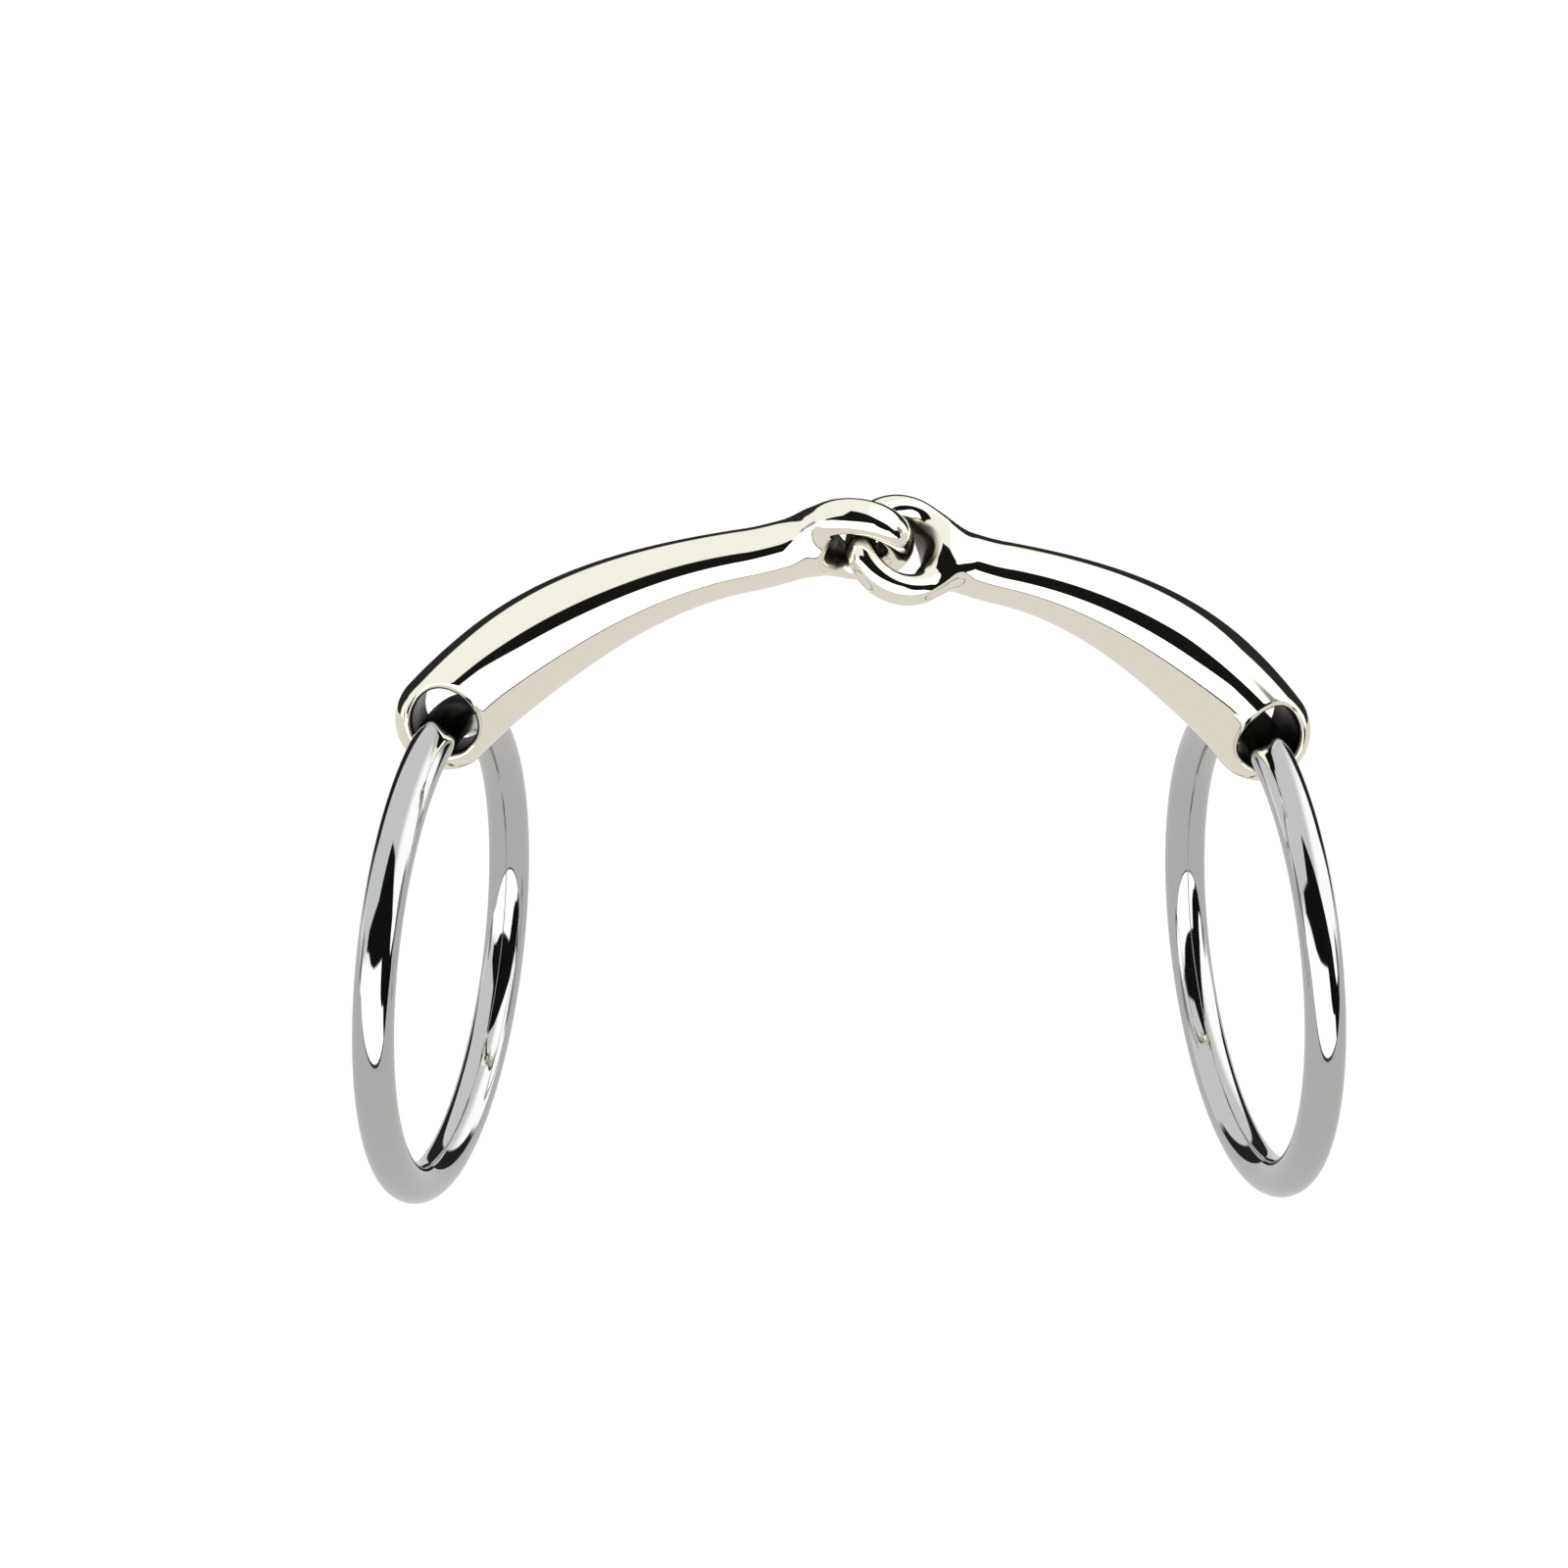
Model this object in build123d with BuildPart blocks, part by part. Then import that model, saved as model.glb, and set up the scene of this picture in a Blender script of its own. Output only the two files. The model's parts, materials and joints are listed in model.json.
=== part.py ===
"""Single-jointed loose ring snaffle bit.

Two identical cast cannons hook into each other through an eye at their inner ends.
A ring of round bar hangs in a bore through the outer end of each cannon.

Frame: millimetres, +Z up, +X to the right along the bit, +Y to the rear.  The origin is
the centre of the whole bit's box.  The link is the point where the two eyes meet.
"""
import os
from math import asin, cos, degrees, radians, sin

from build123d import *

# --- driving dimensions: cannon -------------------------------------------------------
CANNON_LENGTH = 70.0        # straight line from the link to the middle of the bore
CANNON_RISE = 7.5           # height of the cannon's curve above that line
NECK_RADIUS = 4.65          # thinnest round section, just outboard of the eye
NECK_AT = 17.0              # distance of that section from the link, along the curve
BORE_END_RADIUS = 7.6       # round section at the bore
FULL_AT = 62.0              # the body has widened to that radius this far from the link
END_CAP_SHIFT = 1.3         # the domed end is struck from this far beyond the bore
BORE_RADIUS = 5.0
BORE_STRAIGHT = 4.6         # half length of the bore's parallel stretch
MOUTH_FLARE = 1.8           # the bore opens by this much over MOUTH_REACH at each end
MOUTH_REACH = 4.4

EYE_RADIUS = 6.5            # centreline of the eye's loop
EYE_BAR_WIDTH = 2.2         # half width of that loop's bar, in the plane of the eye
EYE_BAR_DEPTH = 2.8         # half width of the bar square to that plane
EYE_REACH = 2.75            # how far the loop's centreline passes beyond the link
EYE_ROOT_WIDTH = 5.8        # half width of the neck where it spreads into the eye
EYE_ROOT_DEPTH = 3.4        # half thickness of the neck there
EYE_LIFT = 2.0              # the eye's middle stands this far above the cannon's curve
LIFT_END = 20.0             # the neck has come down to the curve this far from the link
EYE_TURN = 44.0             # angle between the plane of the eye and the axis of the bore

# --- driving dimensions: ring ---------------------------------------------------------
RING_RADIUS = 35.5          # centreline of the ring
RING_BAR_RADIUS = 3.1
RING_DROP = 1.1             # the bar lies this far below the axis of the bore

# --- rest attitude: how the pieces hang, in degrees -----------------------------------
LINK = (3.39, -7.82, 49.58)  # place of the link in the bit's frame, millimetres
LINK_SLACK = (0.6, 0, 1.6)   # the left cannon hangs this far from the link's own place
LEFT_DROOP, LEFT_SWING, LEFT_ROLL = 24.1, 5.0, 12.0
RIGHT_DROOP, RIGHT_SWING, RIGHT_ROLL = 30.2, 18.0, -3.0
RING_YAW = 14.5             # each ring's front limb stands this far outboard
LEFT_RING_TILT = 11.0       # slope of the bar where it runs through the bore
RIGHT_RING_TILT = 3.0

# --- values that follow ---------------------------------------------------------------
CURVE_RADIUS = (CANNON_LENGTH**2 / 4 + CANNON_RISE**2) / (2 * CANNON_RISE)
CURVE_HALF_ANGLE = degrees(asin(CANNON_LENGTH / 2 / CURVE_RADIUS))
CURVE_LENGTH = 2 * CURVE_RADIUS * radians(CURVE_HALF_ANGLE)
EYE_CENTRE = EYE_RADIUS - EYE_REACH
BODY_STEPS = 7


def swell(offset, reach):
    """1 where the offset is 0, falling smoothly to 0 at the reach."""
    return cos(radians(90 * min(offset / reach, 1))) ** 2


def middle_lift(distance):
    """Height of the cannon's middle line above its curve: full at the eye, none at LIFT_END."""
    return EYE_LIFT * swell(distance - EYE_CENTRE, LIFT_END - EYE_CENTRE)


def across_curve(distance):
    """Plane square to the cannon's curve, this far along it from the link.

    The plane's normal points outboard along the curve and its x axis along the bore.
    """
    slope = radians(CURVE_HALF_ANGLE) - distance / CURVE_RADIUS
    reach = CURVE_RADIUS + middle_lift(distance)
    x = CANNON_LENGTH / 2 - reach * sin(slope)
    z = CANNON_RISE - CURVE_RADIUS + reach * cos(slope)
    return Plane(origin=(x, 0, z), x_dir=(0, 1, 0), z_dir=(cos(slope), 0, sin(slope)))


def body_radius(distance):
    """Radius of the cannon's round section, flaring from the neck to the bore."""
    return BORE_END_RADIUS - (BORE_END_RADIUS - NECK_RADIUS) * swell(distance - NECK_AT, FULL_AT - NECK_AT)


def eye_section(distance):
    """Plane square to the curve whose x axis lies in the plane of the eye."""
    return Plane(across_curve(distance).location * Rotation(0, 0, EYE_TURN))


# --- the casting, in its own frame: link at the origin, bore out along +X -------------
eye_middle = eye_section(EYE_CENTRE)
eye_bar_plane = Plane(origin=eye_middle.origin, x_dir=eye_middle.z_dir, z_dir=eye_middle.x_dir)
bore_middle = across_curve(CURVE_LENGTH).origin
bore_plane = Plane(origin=bore_middle, x_dir=(1, 0, 0), z_dir=(0, 0, 1))
mouth_radius = BORE_RADIUS + MOUTH_FLARE
mouth_end = BORE_STRAIGHT + MOUTH_REACH
cap_distance = CURVE_LENGTH + END_CAP_SHIFT

with BuildPart() as casting:
    with BuildSketch(eye_section(EYE_CENTRE + EYE_RADIUS)):
        Ellipse(EYE_ROOT_WIDTH, EYE_ROOT_DEPTH)
    for step in range(BODY_STEPS + 1):
        distance = NECK_AT + (cap_distance - NECK_AT) * step / BODY_STEPS
        with BuildSketch(eye_section(distance)):
            Circle(body_radius(distance))
    loft()
    with Locations(across_curve(cap_distance).location):
        Sphere(BORE_END_RADIUS)
    with BuildSketch(eye_bar_plane):
        with Locations((EYE_RADIUS, 0)):
            Ellipse(EYE_BAR_WIDTH, EYE_BAR_DEPTH)
    revolve(axis=Axis(eye_middle.origin, eye_middle.y_dir))
    with BuildSketch(bore_plane):
        with BuildLine():
            Line((BORE_RADIUS, -BORE_STRAIGHT), (BORE_RADIUS, BORE_STRAIGHT))
            TangentArc((BORE_RADIUS, BORE_STRAIGHT), (mouth_radius, mouth_end), tangent=(0, 1))
            Polyline((mouth_radius, mouth_end), (0, mouth_end), (0, -mouth_end), (mouth_radius, -mouth_end))
            TangentArc((BORE_RADIUS, -BORE_STRAIGHT), (mouth_radius, -mouth_end), tangent=(0, -1))
        make_face()
    revolve(axis=Axis(bore_middle, (0, 1, 0)), mode=Mode.SUBTRACT)


def ring_plane(bore, outboard, tilt):
    """Plane of a hanging ring: its x axis runs down, its y axis to the rear."""
    yaw = radians(RING_YAW)
    rearward = Vector(-outboard * sin(yaw) * cos(radians(tilt)),
                      cos(yaw) * cos(radians(tilt)), -sin(radians(tilt)))
    across = Vector(cos(yaw), outboard * sin(yaw), 0)
    down = rearward.cross(across)
    return Plane(origin=bore + down * (RING_DROP + RING_RADIUS), x_dir=down, z_dir=across)


left_link = Vector(LINK) + Vector(LINK_SLACK)
left_plane = Plane(left_link).rotated((LEFT_ROLL, LEFT_DROOP, 180 - LEFT_SWING), Extrinsic.XYZ)
right_plane = Plane(LINK).rotated((RIGHT_ROLL, RIGHT_DROOP, RIGHT_SWING), Extrinsic.XYZ)

with BuildPart(left_plane) as left_cannon:
    add(casting.part)
with BuildPart(right_plane) as right_cannon:
    add(casting.part)

left_bore = left_plane.from_local_coords(bore_middle)
right_bore = right_plane.from_local_coords(bore_middle)
with BuildPart(ring_plane(left_bore, -1, LEFT_RING_TILT)) as left_ring:
    Torus(RING_RADIUS, RING_BAR_RADIUS)
with BuildPart(ring_plane(right_bore, 1, RIGHT_RING_TILT)) as right_ring:
    Torus(RING_RADIUS, RING_BAR_RADIUS)

left_cannon.part.label = "left_cannon"
right_cannon.part.label = "right_cannon"
left_ring.part.label = "left_ring"
right_ring.part.label = "right_ring"

os.makedirs("parts", exist_ok=True)
for piece in (left_cannon, right_cannon, left_ring, right_ring):
    export_step(piece.part, f"parts/{piece.part.label}.step")
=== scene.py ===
"""Looks of the single-jointed loose ring snaffle bit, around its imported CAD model.

The two cannons are smooth polished castings: a curved, flaring round body, an eye and a
bore, blended into each other, and meshed from one implicit solid.  The rings are round bar.
"""
import json
from itertools import product
from math import asin, cos, pi, radians, sin

import bpy
import numpy as np
from mathutils import Euler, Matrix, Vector


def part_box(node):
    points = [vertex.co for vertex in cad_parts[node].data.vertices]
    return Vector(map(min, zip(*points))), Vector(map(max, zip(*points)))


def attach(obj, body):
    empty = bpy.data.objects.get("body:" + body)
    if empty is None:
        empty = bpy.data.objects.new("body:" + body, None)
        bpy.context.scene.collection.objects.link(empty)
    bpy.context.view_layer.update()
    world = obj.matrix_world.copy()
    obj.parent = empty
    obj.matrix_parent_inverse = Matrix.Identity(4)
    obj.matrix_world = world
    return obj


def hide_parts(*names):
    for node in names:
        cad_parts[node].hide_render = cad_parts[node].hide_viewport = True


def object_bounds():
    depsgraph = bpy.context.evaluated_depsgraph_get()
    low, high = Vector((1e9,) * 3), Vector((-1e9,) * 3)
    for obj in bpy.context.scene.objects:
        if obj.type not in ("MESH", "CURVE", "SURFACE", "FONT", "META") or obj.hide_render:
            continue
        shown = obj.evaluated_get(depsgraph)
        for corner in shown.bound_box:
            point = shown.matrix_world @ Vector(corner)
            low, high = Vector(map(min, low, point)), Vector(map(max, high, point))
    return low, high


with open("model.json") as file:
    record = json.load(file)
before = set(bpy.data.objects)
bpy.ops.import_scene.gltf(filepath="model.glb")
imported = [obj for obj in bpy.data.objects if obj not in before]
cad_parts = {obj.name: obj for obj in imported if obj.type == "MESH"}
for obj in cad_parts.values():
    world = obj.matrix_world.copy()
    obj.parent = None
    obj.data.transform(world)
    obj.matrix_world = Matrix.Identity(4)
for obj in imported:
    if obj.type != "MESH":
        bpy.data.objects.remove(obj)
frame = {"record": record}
cad_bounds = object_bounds()

MM = 0.001

# --- cannon casting: millimetres, link at the origin, bore out along +X --------------------
CANNON_LENGTH = 70.0        # straight, from the link to the middle of the bore
CANNON_RISE = 7.5           # height of the curve above that straight line
NECK_RADIUS = 4.65
NECK_AT = 17.0              # the body is narrowest here
BORE_END_RADIUS = 7.6
FULL_AT = 62.0              # the body has widened to that radius here
END_CAP_SHIFT = 1.3         # from the bore's middle out to the middle of the domed end
BORE_RADIUS = 5.0
BORE_LIP = 1.6              # width over which the bore's edge is rounded
EYE_RADIUS = 6.5            # to the middle of the eye's bar
EYE_BAR_WIDTH = 2.2         # half widths of the eye's bar, in the plane of the eye
EYE_BAR_DEPTH = 2.8         # and through it
EYE_LIFT = 2.0              # eye above the line of the neck
LIFT_END = 20.0             # the lift has run out here
EYE_REACH = 2.75            # how far the eye's bar lies beyond the link
EYE_TURN = 44.0             # degrees between the plane of the eye and the bore
EYE_BLEND = 3.0             # width over which the eye's bar runs into the neck
EYE_HOLE_EDGE = 1.0         # width over which the eye's hole is rounded into the neck

# --- painted shade and rougher unpolished skin in the recesses: distances in mm over which they fade ---
BORE_SKIN_AND_SHADE = (0.05, 0.6)     # out from the wall of the bore
EYE_SKIN_AND_SHADE = (0.15, 0.7)      # out from the wall of the eye's hole
EYE_SKIN_AND_SHADE_HEIGHT = (2.6, 4.0)    # away from the plane of the eye

# --- rest attitude: roll, droop and heading in degrees, and the eye's link point in mm ------
CANNON_REST = {
    "left": {"turns": (12.0, 24.1, 175.0), "link": (3.99, -7.82, 51.18)},
    "right": {"turns": (-3.0, 30.2, 18.0), "link": (3.39, -7.82, 49.58)},
}

# --- ring: millimetres ----------------------------------------------------------------------
RING_RADIUS = 35.5
RING_BAR_RADIUS = 3.1
RING_STEPS = 288
BAR_STEPS = 56
RUB_AND_SHADE = (0.12, 0.30)          # radians round the ring over which the rubbed, painted-shade place in the bore fades

# --- mesh of the castings -------------------------------------------------------------------
CELL = 0.32
GRID_LOW = (-8.5, -10.5, -12.5)
GRID_HIGH = (83.0, 10.5, 19.0)
LEAST_SLOPE = 0.1           # keeps a step towards the surface short where the solid is flat
FIRST_STEPS = 3             # steps onto the surface at first
RELAX_ROUNDS = 4
RELAX_STEPS = 2             # and after each round of relaxing

# --- camera ---------------------------------------------------------------------------------
CAMERA_ELEVATION = 26.0
CAMERA_DISTANCE = 1.185
CAMERA_LENS = 185.3
SENSOR_WIDTH = 36.0
LINK_RIGHT_OF_AXIS = 13.6 * MM
LINK_ABOVE_AXIS = 32.4 * MM

# --- metals: base colour, darker colour (painted shade) and extra roughness where marked, and roughness ---
# the darker colours where marked are painted shade in the bore, the eye's hole and the rings inside
# the bore
ALLOY = {"colour": (0.89, 0.873, 0.76), "shaded_colour": (0.045, 0.04, 0.033),
         "roughness": 0.02, "dull_roughness": 0.3}
STEEL = {"colour": (0.53, 0.54, 0.537), "shaded_colour": (0.40, 0.405, 0.402),
         "roughness": 0.03, "dull_roughness": 0.12}
CLOUD_SCALE = 160.0
CLOUD_ROUGHNESS = 0.03
DULL_AND_SHADE_LEAST = 0.78           # share of the duller, painted-shade skin where there is no clouding
DULL_AND_SHADE_CLOUD = 0.4            # and what full clouding adds to it
LINE_SCALE = 2600.0
LINE_ROUGHNESS = 0.05
LINE_STRENGTH = 0.02
LINE_HEIGHT = 0.00002       # metres

# --- studio: angles in degrees, shades as shares of the brightest part ----------------------
TENT_STRENGTH = 2.0
BACKDROP_STRENGTH = 1.12    # what the camera and the floor see
JUST_UNDER_ONE = 0.9999     # keeps the arcsine inside its range
OVERHEAD = (0.498, 0.500, 0.503)
TENT = [(-180, 0.62), (-90, 0.62), (-80, 1.0), (14, 1.0), (40, OVERHEAD), (180, OVERHEAD)]

CARD_SHADE = 0.004          # dark card, with the (side, height) of points along both its edges
CARD_LOW = [(-60, 30), (-45, 26), (-30, 19), (-12, 16), (27, 16), (34, -2), (42, -10),
            (51, -14), (58, -62)]
CARD_HIGH = [(-62, 30), (-58, 44), (-26, 50), (-9, 74), (20, 62), (45, 44), (60, 31), (72, -5)]
CARD_LOW_FADE = 1.0
CARD_HIGH_FADE = 1.5

# pairs of angles: a light or shade is absent at the first and full at the second
RIGHT_LIGHT = 0.8           # how far the right side is lightened to white
RIGHT_LIGHT_SIDE = (18, 42)
RIGHT_LIGHT_HEIGHT = (-25, 0)
REAR_SHADE = 0.012          # dark wall behind
REAR_HEIGHT = (156, 160)
REAR_SIDE = (58, 52)
ENDS_SHADE = 0.15           # far left and far right
ENDS_SIDE = (79, 84)

# --- table that only the metal sees, in metres ------------------------------------------------
TABLE_HALF = 1.0
TABLE_FRONT = -0.155        # Y of the front edge in the middle
TABLE_SLANT = 0.20          # rise of that Y for each metre to the right
TABLE_REAR = 0.30
TABLE_EDGE = 0.012
TABLE_LEVEL = -0.082
TABLE_SHADE = (0.77, 0.745, 0.73)
TABLE_EDGE_SHADE = (0.02, 0.02, 0.02)

# --- floor ------------------------------------------------------------------------------------
FLOOR_HALF = 3.0
FLOOR_DROP = 0.06
FLOOR_COLOUR = (0.95, 0.95, 0.95, 1)
FLOOR_ROUGHNESS = 0.9

# --- values that follow ---------------------------------------------------------------------
CURVE_RADIUS = (CANNON_LENGTH**2 / 4 + CANNON_RISE**2) / (2 * CANNON_RISE)
HALF_ANGLE = asin(CANNON_LENGTH / 2 / CURVE_RADIUS)
CURVE_LENGTH = 2 * CURVE_RADIUS * HALF_ANGLE
CURVE_CENTRE = np.array([CANNON_LENGTH / 2, 0.0, CANNON_RISE - CURVE_RADIUS])
EYE_CENTRE = EYE_RADIUS - EYE_REACH
HOLE_RADIUS = EYE_RADIUS - EYE_BAR_WIDTH


# === the casting as an implicit solid: negative inside the metal ============================
def curve_point(distance):
    """Point of the cannon's curve this far from the link, and the outboard direction."""
    turn = HALF_ANGLE - distance / CURVE_RADIUS
    point = CURVE_CENTRE + CURVE_RADIUS * np.array([-sin(turn), 0.0, cos(turn)])
    return point, np.array([cos(turn), 0.0, sin(turn)])


EYE_MIDDLE, EYE_ALONG = curve_point(EYE_CENTRE)
EYE_UP = np.array([-EYE_ALONG[2], 0.0, EYE_ALONG[0]])
EYE_MIDDLE = EYE_MIDDLE + EYE_LIFT * EYE_UP
EYE_SIDE = np.array([0.0, cos(radians(EYE_TURN)), 0.0]) + sin(radians(EYE_TURN)) * EYE_UP
EYE_NORMAL = np.cross(EYE_ALONG, EYE_SIDE)
BORE_MIDDLE = curve_point(CURVE_LENGTH)[0]


def ease(values, start, end):
    """0 at start, 1 at end, smooth between."""
    t = np.clip((values - start) / (end - start), 0, 1)
    return t * t * (3 - 2 * t)


def join(a, b, width):
    """Union of two solids with a fillet about this wide."""
    share = np.clip(0.5 + 0.5 * (b - a) / width, 0, 1)
    return b + (a - b) * share - width * share * (1 - share)


def cut(solid, tool, width):
    """The solid less the tool, with the new edge rounded."""
    return -join(-solid, tool, width)


def swell(offset, reach):
    """1 where the offset is 0, falling smoothly to 0 at the reach."""
    return np.cos(np.clip(offset / reach, 0, 1) * pi / 2)**2


def body_radius(distance):
    narrowing = BORE_END_RADIUS - NECK_RADIUS
    return BORE_END_RADIUS - narrowing * swell(distance - NECK_AT, FULL_AT - NECK_AT)


def body_solid(p):
    """Round sections along the curve, domed at both ends."""
    x, _, z = (p - CURVE_CENTRE).T
    distance = CURVE_RADIUS * (HALF_ANGLE + np.arctan2(x, z))
    along = np.clip(distance, EYE_CENTRE + EYE_RADIUS, CURVE_LENGTH + END_CAP_SHIFT)
    turn = along / CURVE_RADIUS - HALF_ANGLE
    reach = CURVE_RADIUS + EYE_LIFT * swell(along - EYE_CENTRE, LIFT_END - EYE_CENTRE)
    nearest = np.stack([reach * np.sin(turn), 0 * turn, reach * np.cos(turn)], axis=1)
    return np.linalg.norm(p - CURVE_CENTRE - nearest, axis=1) - body_radius(along)


def from_eye_axis(p):
    """Distance from the eye's axis, and height above the eye's plane."""
    offset = p - EYE_MIDDLE
    height = offset @ EYE_NORMAL
    return np.linalg.norm(offset - np.outer(height, EYE_NORMAL), axis=1), height


def bore_solid(p):
    offset = p - BORE_MIDDLE
    return np.hypot(offset[:, 0], offset[:, 2]) - BORE_RADIUS


def casting_solid(p):
    flat, height = from_eye_axis(p)
    hole = flat - HOLE_RADIUS
    wide, deep = (flat - EYE_RADIUS) / EYE_BAR_WIDTH, height / EYE_BAR_DEPTH
    out = np.hypot(wide, deep)
    loop = out * (out - 1) / np.maximum(np.hypot(wide / EYE_BAR_WIDTH, deep / EYE_BAR_DEPTH), 1e-6)
    solid = join(cut(body_solid(p), hole, EYE_HOLE_EDGE), loop, EYE_BLEND)
    return cut(solid, bore_solid(p), BORE_LIP)


# === meshing an implicit solid ==============================================================
def gradient(solid, p, step=0.01):
    sides = []
    for axis in np.eye(3) * step:
        sides.append((solid(p + axis) - solid(p - axis)) / (2 * step))
    return np.stack(sides, axis=1)


def onto_surface(solid, p, steps):
    for _ in range(steps):
        slope = gradient(solid, p)
        p = p - slope * (solid(p) / np.maximum((slope**2).sum(axis=1), LEAST_SLOPE))[:, None]
    return p


def surface_net(solid, low, high, cell):
    """Points and quads of a solid's surface: one point in each grid cell that it crosses."""
    axes = [np.arange(a, b + cell, cell) for a, b in zip(low, high)]
    nodes = np.stack(np.meshgrid(*axes, indexing="ij"), axis=-1)
    inside = solid(nodes.reshape(-1, 3)).reshape(nodes.shape[:3]) < 0
    nx, ny, nz = (n - 1 for n in inside.shape)
    corners = np.zeros((nx, ny, nz), int)
    for dx, dy, dz in product((0, 1), repeat=3):
        corners += inside[dx:nx + dx, dy:ny + dy, dz:nz + dz]
    crossed = (corners > 0) & (corners < 8)
    number = np.full((nx, ny, nz), -1)
    number[crossed] = np.arange(crossed.sum())
    points = nodes[:-1, :-1, :-1][crossed] + cell / 2
    quads = []
    for axis in range(3):
        near = np.moveaxis(inside, (axis, (axis + 1) % 3, (axis + 2) % 3), (0, 1, 2))
        cells = np.moveaxis(number, (axis, (axis + 1) % 3, (axis + 2) % 3), (0, 1, 2))
        starts = near[:-1, 1:-1, 1:-1]
        ends = near[1:, 1:-1, 1:-1]
        around = [cells[:, :-1, :-1], cells[:, 1:, :-1], cells[:, 1:, 1:], cells[:, :-1, 1:]]
        for edge, order in ((starts & ~ends, (0, 1, 2, 3)), (ends & ~starts, (3, 2, 1, 0))):
            quads.append(np.stack([around[k][edge] for k in order], axis=1))
    return points, np.concatenate(quads)


def relax(points, quads):
    """Each point moved halfway towards the mean of its neighbours."""
    total = np.zeros_like(points)
    count = np.zeros(len(points))
    for a, b in ((0, 1), (1, 2), (2, 3), (3, 0)):
        for here, there in ((quads[:, a], quads[:, b]), (quads[:, b], quads[:, a])):
            np.add.at(total, here, points[there])
            np.add.at(count, here, 1)
    return 0.5 * points + 0.5 * total / count[:, None]


def smooth_mesh(name, points, quads, normals, marks):
    """A mesh object in metres with exact normals and one number per point for each mark."""
    mesh = bpy.data.meshes.new(name)
    mesh.from_pydata((points * MM).tolist(), [], quads.tolist())
    mesh.polygons.foreach_set("use_smooth", [True] * len(mesh.polygons))
    for mark, values in marks.items():
        layer = mesh.attributes.new(mark, "FLOAT", "POINT")
        layer.data.foreach_set("value", values.astype(np.float32))
    mesh.normals_split_custom_set_from_vertices(normals.tolist())
    piece = bpy.data.objects.new(name, mesh)
    bpy.context.collection.objects.link(piece)
    return piece


# === the pieces =============================================================================
def casting_mesh():
    points, quads = surface_net(casting_solid, GRID_LOW, GRID_HIGH, CELL)
    points = onto_surface(casting_solid, points, FIRST_STEPS)
    for _ in range(RELAX_ROUNDS):
        points = onto_surface(casting_solid, relax(points, quads), RELAX_STEPS)
    normals = gradient(casting_solid, points)
    normals /= np.linalg.norm(normals, axis=1)[:, None]
    flat, height = from_eye_axis(points)
    # painted shade: the colour is darkened to near black in the bore and the eye's hole, which are
    # also rougher
    in_bore = 1 - ease(bore_solid(points), *BORE_SKIN_AND_SHADE)
    in_eye = (1 - ease(flat - HOLE_RADIUS, *EYE_SKIN_AND_SHADE)) * (1 - ease(np.abs(height), *EYE_SKIN_AND_SHADE_HEIGHT))
    return points, quads, normals, {"recess_skin_and_shade": np.maximum(in_bore, in_eye)}


def cannon(side, casting, material):
    points, quads, normals, marks = casting
    turn = Euler([radians(a) for a in CANNON_REST[side]["turns"]], "XYZ").to_matrix()
    turn = np.array(turn)
    placed = points @ turn.T + np.array(CANNON_REST[side]["link"])
    piece = smooth_mesh(f"{side}_cannon_polished", placed, quads, normals @ turn.T, marks)
    piece.data.materials.append(material)
    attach(piece, f"{side}_cannon")
    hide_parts(f"{side}_cannon")


def ring(side, joints, material):
    """Round bar bent into a ring, placed by its CAD box and by its hinge."""
    low, high = (np.array(corner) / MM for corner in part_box(f"{side}_ring"))
    centre = (low + high) / 2
    hinge = joints[f"{side}_ring_swing"]
    up = np.array(hinge["pos_m"]) / MM - centre
    up /= np.linalg.norm(up)
    tangent = np.array(hinge["axis"]) * (1 if side == "left" else -1)
    tangent -= up * (tangent @ up)
    tangent /= np.linalg.norm(tangent)
    across = np.cross(tangent, up)
    around = np.linspace(0, 2 * pi, RING_STEPS, endpoint=False)
    bar = np.linspace(0, 2 * pi, BAR_STEPS, endpoint=False)
    a, b = np.meshgrid(around, bar, indexing="ij")
    outward = np.cos(a)[..., None] * up + np.sin(a)[..., None] * tangent
    normals = np.cos(b)[..., None] * outward + np.sin(b)[..., None] * across
    points = centre + RING_RADIUS * outward + RING_BAR_RADIUS * normals
    index = np.arange(RING_STEPS * BAR_STEPS).reshape(RING_STEPS, BAR_STEPS)
    after, beside = np.roll(index, -1, 0), np.roll(index, -1, 1)
    quads = np.stack([index, beside, np.roll(beside, -1, 0), after], axis=-1)
    # painted shade: the ring is darker where it passes through the bore, and rougher there from
    # rubbing
    rub_and_shade = 1 - ease(np.abs((a + pi) % (2 * pi) - pi), *RUB_AND_SHADE)
    piece = smooth_mesh(f"{side}_ring_polished", points.reshape(-1, 3), quads.reshape(-1, 4),
                        normals.reshape(-1, 3), {"rub_and_shade": rub_and_shade.ravel()})
    piece.data.materials.append(material)
    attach(piece, f"{side}_ring")
    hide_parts(f"{side}_ring")


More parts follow.
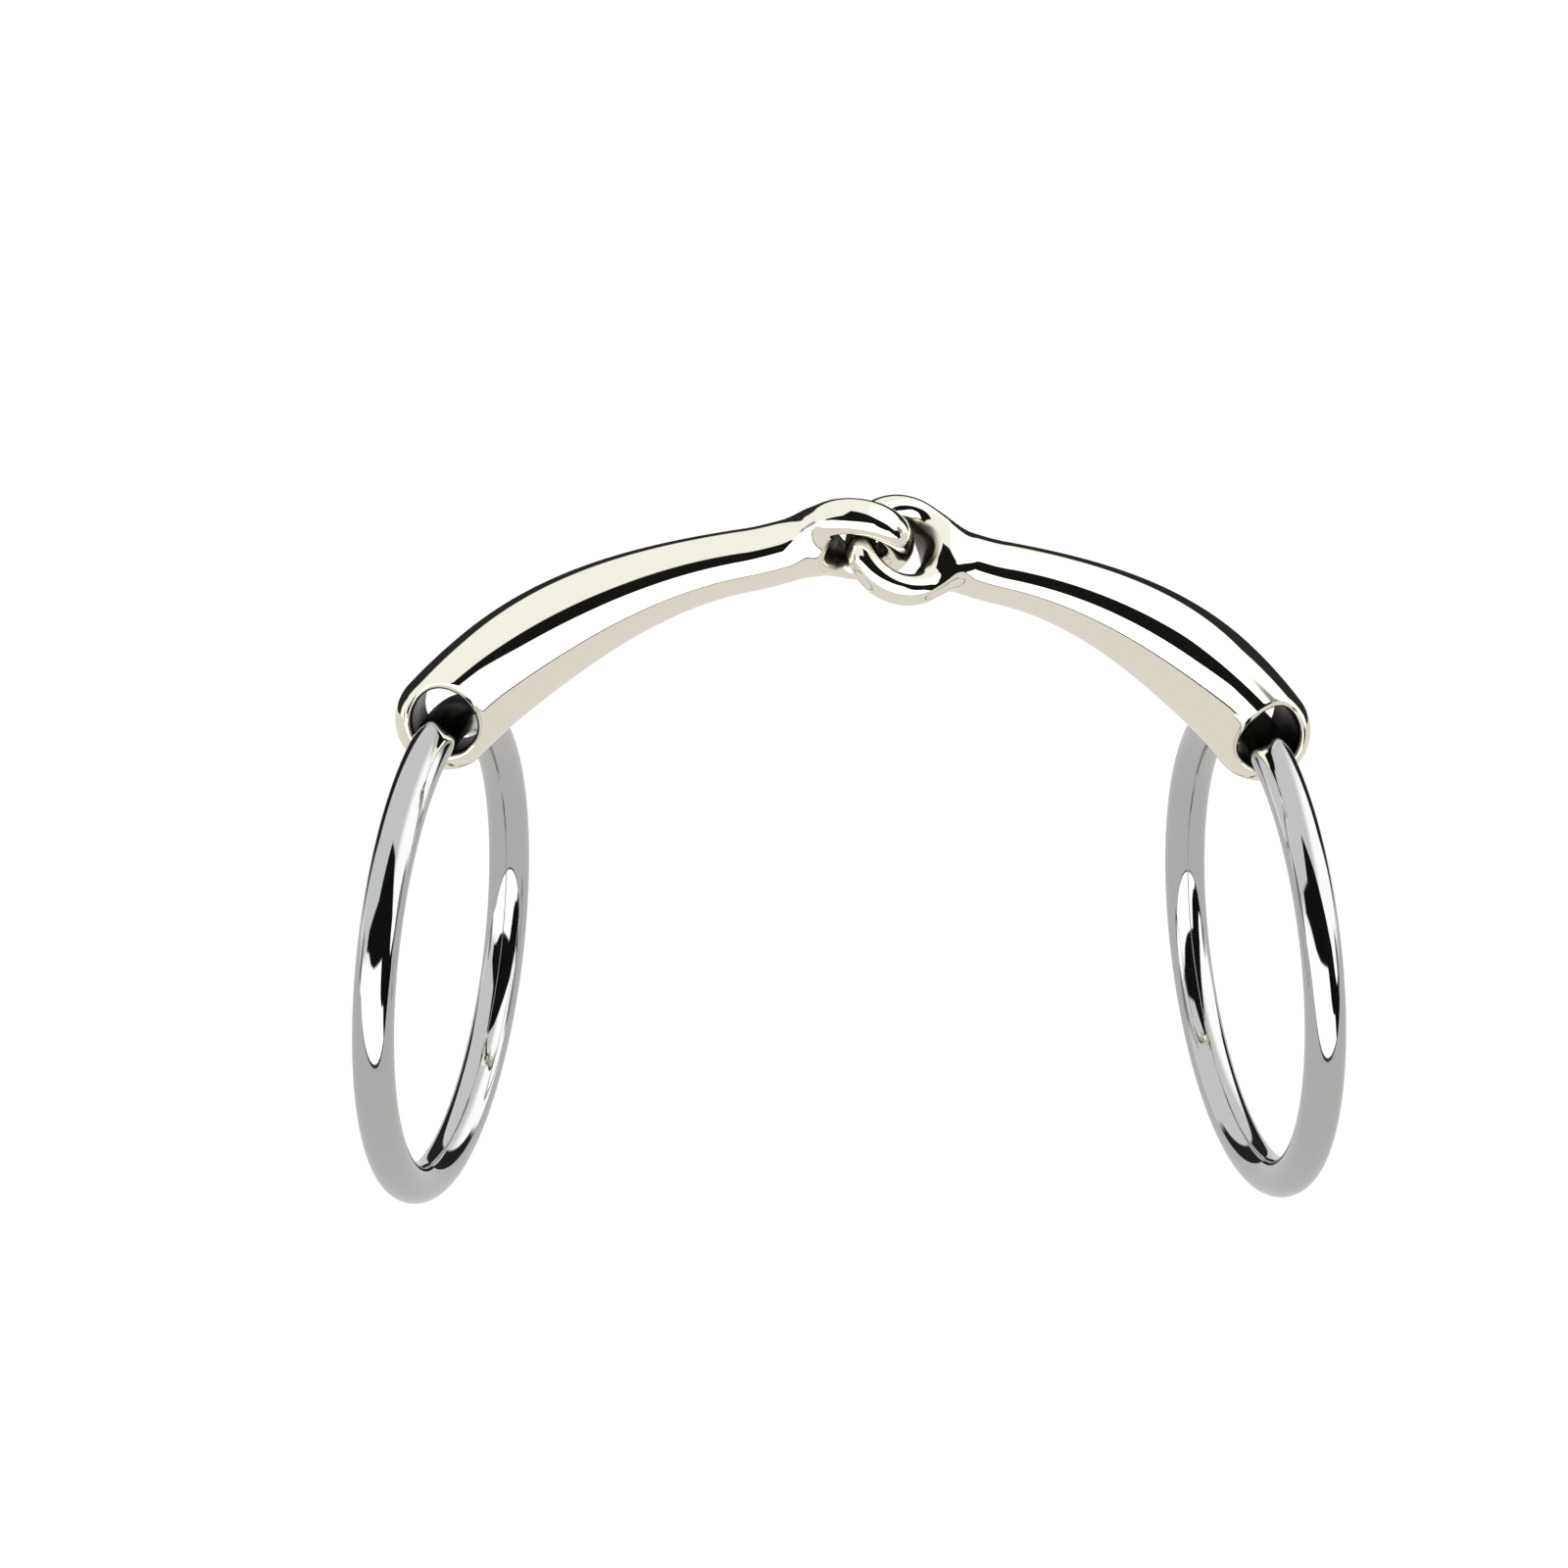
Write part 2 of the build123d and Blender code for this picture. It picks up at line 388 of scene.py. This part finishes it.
# === materials ==============================================================================
class Nodes:
    """Short hand for building a node tree."""

    def __init__(self, tree):
        self.tree = tree
        tree.nodes.clear()

    def add(self, kind, inputs=(), **settings):
        node = self.tree.nodes.new(kind)
        for key, value in settings.items():
            setattr(node, key, value)
        for key, value in dict(inputs).items():
            if isinstance(value, bpy.types.NodeSocket):
                self.tree.links.new(value, node.inputs[key])
            else:
                node.inputs[key].default_value = value
        return node

    def math(self, operation, first, second=0.0):
        return self.add("ShaderNodeMath", {0: first, 1: second}, operation=operation).outputs[0]

    def ramp(self, factor, stops):
        node = self.add("ShaderNodeValToRGB", {"Fac": factor})
        elements = node.color_ramp.elements
        elements.remove(elements[1])
        elements[0].position = stops[0][0]
        for place, _ in stops[1:]:
            elements.new(place)
        for element, (_, shade) in zip(elements, stops):
            element.color = (*shade, 1) if isinstance(shade, tuple) else (shade, shade, shade, 1)
        return node.outputs["Color"]

    def finish(self, shader, kind="ShaderNodeOutputMaterial"):
        out = self.add(kind)
        self.tree.links.new(shader.outputs[0], out.inputs["Surface"])


def metal(name, mark, colour, shaded_colour, roughness, dull_roughness):
    """Mirror-polished metal: fine polishing lines, faint clouding, and duller where marked, with
    painted shade darkening the colour there.
    """
    material = bpy.data.materials.new(name)
    material.use_nodes = True
    n = Nodes(material.node_tree)
    place = n.add("ShaderNodeTexCoord").outputs["Object"]
    cloud = n.add("ShaderNodeTexNoise", {"Vector": place, "Scale": CLOUD_SCALE,
                                         "Detail": 4.0}).outputs["Fac"]
    lines = n.add("ShaderNodeTexNoise", {"Vector": place, "Scale": LINE_SCALE, "Detail": 3.0,
                                         "Roughness": 0.7}).outputs["Fac"]
    dull_and_shade = n.add("ShaderNodeAttribute", attribute_name=mark).outputs["Fac"]
    patchy = n.math("MULTIPLY", dull_and_shade, n.math("ADD", n.math("MULTIPLY", cloud, DULL_AND_SHADE_CLOUD), DULL_AND_SHADE_LEAST))
    patchy = n.math("MINIMUM", patchy, 1.0)
    tint = n.add("ShaderNodeMix", {0: patchy}, data_type="RGBA")
    tint.inputs[6].default_value = (*colour, 1)
    tint.inputs[7].default_value = (*shaded_colour, 1)
    fine = n.math("MULTIPLY", n.math("SUBTRACT", lines, 0.5), LINE_ROUGHNESS)
    gloss = n.math("ADD", n.math("MULTIPLY", cloud, CLOUD_ROUGHNESS), n.math("ADD", fine, roughness))
    gloss = n.math("ADD", gloss, n.math("MULTIPLY", patchy, dull_roughness))
    bump = n.add("ShaderNodeBump", {"Strength": LINE_STRENGTH, "Distance": LINE_HEIGHT,
                                    "Height": lines})
    shader = n.add("ShaderNodeBsdfPrincipled", {
        "Base Color": tint.outputs[2], "Metallic": 1.0, "Roughness": gloss,
        "Normal": bump.outputs["Normal"]})
    n.finish(shader)
    return material


# === studio =================================================================================
def studio_world():
    """White tent, dark card and dark rear wall, seen by the mirror finish; plain white for the rest.

    Two angles place everything: the height, about the bit's length, is 0 level in front,
    90 overhead and 180 level behind, and the side is 0 in front and 90 to the far right.
    """
    world = bpy.data.worlds.new("studio")
    bpy.context.scene.world = world
    world.use_nodes = True
    n = Nodes(world.node_tree)
    direction = n.add("ShaderNodeTexCoord").outputs["Generated"]
    split = n.add("ShaderNodeSeparateXYZ", {"Vector": direction})
    x, y, z = split.outputs
    height = n.math("DEGREES", n.math("ARCTAN2", z, n.math("MULTIPLY", y, -1.0)))
    side = n.math("DEGREES", n.math("ARCSINE", n.math("MULTIPLY", x, JUST_UNDER_ONE)))

    def over(angle, stops):
        """A shade that changes with an angle in degrees, from -180 to 180."""
        return n.ramp(n.math("DIVIDE", n.math("ADD", angle, 180.0), 360.0),
                      [((a + 180) / 360, value) for a, value in stops])

    def step(value, start, end):
        node = n.add("ShaderNodeMapRange", {"Value": value, "From Min": start, "From Max": end},
                     interpolation_type="SMOOTHSTEP")
        return node.outputs["Result"]

    def shade(below, mask, value):
        node = n.add("ShaderNodeMix", {0: mask}, data_type="RGBA")
        n.tree.links.new(below, node.inputs[6])
        node.inputs[7].default_value = (value, value, value, 1)
        return node.outputs[2]

    tent = over(height, TENT)
    right = n.math("MULTIPLY", step(side, *RIGHT_LIGHT_SIDE), step(height, *RIGHT_LIGHT_HEIGHT))
    tent = shade(tent, n.math("MULTIPLY", right, RIGHT_LIGHT), 1.0)
    edges = []
    for stops in (CARD_LOW, CARD_HIGH):    # a ramp holds 0 to 1, so -90 to 90 is scaled into it
        share = over(side, [(a, (h + 90) / 180) for a, h in stops])
        edges.append(n.math("SUBTRACT", n.math("MULTIPLY", share, 180.0), 90.0))
    above = step(n.math("SUBTRACT", height, edges[0]), -CARD_LOW_FADE, CARD_LOW_FADE)
    below = step(n.math("SUBTRACT", edges[1], height), -CARD_HIGH_FADE, CARD_HIGH_FADE)
    tent = shade(tent, n.math("MULTIPLY", above, below), CARD_SHADE)
    from_front, from_middle = n.math("ABSOLUTE", height), n.math("ABSOLUTE", side)
    rear = n.math("MULTIPLY", step(from_front, *REAR_HEIGHT), step(from_middle, *REAR_SIDE))
    tent = shade(tent, rear, REAR_SHADE)
    tent = shade(tent, step(from_middle, *ENDS_SIDE), ENDS_SHADE)
    seen = n.add("ShaderNodeLightPath")
    glossy = n.add("ShaderNodeBackground", {"Color": tent, "Strength": TENT_STRENGTH})
    plain = n.add("ShaderNodeBackground", {"Color": (1, 1, 1, 1), "Strength": BACKDROP_STRENGTH})
    mix = n.add("ShaderNodeMixShader", {0: seen.outputs["Is Glossy Ray"]})
    n.tree.links.new(plain.outputs[0], mix.inputs[1])
    n.tree.links.new(glossy.outputs[0], mix.inputs[2])
    n.finish(mix, "ShaderNodeOutputWorld")


def glowing(name, colour):
    """A material that gives off one even colour."""
    material = bpy.data.materials.new(name)
    material.use_nodes = True
    n = Nodes(material.node_tree)
    n.finish(n.add("ShaderNodeEmission", {"Color": (*colour, 1)}))
    return material


def flat_card(name, corners, material):
    mesh = bpy.data.meshes.new(name)
    mesh.from_pydata(corners, [], [(0, 1, 2, 3)])
    mesh.materials.append(material)
    card = bpy.data.objects.new(name, mesh)
    bpy.context.collection.objects.link(card)
    return card


def reflected_card(name, corners, material):
    """A flat card that only the mirror finish sees."""
    card = flat_card(name, corners, material)
    for kind in ("camera", "diffuse", "shadow", "transmission", "volume_scatter"):
        setattr(card, f"visible_{kind}", False)


def table():
    """Grey table under the bit, with a dark front edge."""
    ends = []
    for x in (-TABLE_HALF, TABLE_HALF):
        ends.append((x, TABLE_FRONT + TABLE_SLANT * x))
    (left, front_left), (right, front_right) = ends
    level = TABLE_LEVEL
    top = [(left, front_left, level), (right, front_right, level),
           (right, TABLE_REAR, level), (left, TABLE_REAR, level)]
    edge = [(left, front_left - TABLE_EDGE, level), (right, front_right - TABLE_EDGE, level),
            (right, front_right, level), (left, front_left, level)]
    reflected_card("table_top", top, glowing("table_grey", TABLE_SHADE))
    reflected_card("table_edge", edge, glowing("table_dark", TABLE_EDGE_SHADE))


def floor():
    """Pale floor under the bit, kept out of its reflections."""
    half, level = FLOOR_HALF, cad_bounds[0][2] - FLOOR_DROP
    material = bpy.data.materials.new("pale_floor")
    material.use_nodes = True
    shader = material.node_tree.nodes["Principled BSDF"]
    shader.inputs["Base Color"].default_value = FLOOR_COLOUR
    shader.inputs["Roughness"].default_value = FLOOR_ROUGHNESS
    corners = [(-half, -half, level), (half, -half, level), (half, half, level), (-half, half, level)]
    plane = flat_card("floor", corners, material)
    plane.visible_glossy = False


def camera():
    """At the front, above, aimed so that the link stands up and right of the middle."""
    tilt = radians(CAMERA_ELEVATION)
    up = Vector((0, sin(tilt), cos(tilt)))
    back = Vector((0, -cos(tilt), sin(tilt)))
    link = Vector(CANNON_REST["right"]["link"]) * MM
    aim = link - Vector((LINK_RIGHT_OF_AXIS, 0, 0)) - up * LINK_ABOVE_AXIS
    data = bpy.data.cameras.new("camera")
    data.lens = CAMERA_LENS
    data.sensor_width = SENSOR_WIDTH
    view = bpy.data.objects.new("camera", data)
    view.location = aim + back * CAMERA_DISTANCE
    view.rotation_euler = (pi / 2 - tilt, 0, 0)
    bpy.context.collection.objects.link(view)
    bpy.context.scene.camera = view


# the marks darken the colour as painted shade and add roughness
alloy = metal("pale_gold_alloy", "recess_skin_and_shade", **ALLOY)
steel = metal("ring_steel", "rub_and_shade", **STEEL)
joints = {j["name"]: j for j in frame["record"]["behaviour"]["joints"]}
casting = casting_mesh()
for side in ("left", "right"):
    cannon(side, casting, alloy)
    ring(side, joints, steel)

camera()
floor()
table()
studio_world()
bpy.context.scene.view_settings.view_transform = "Standard"
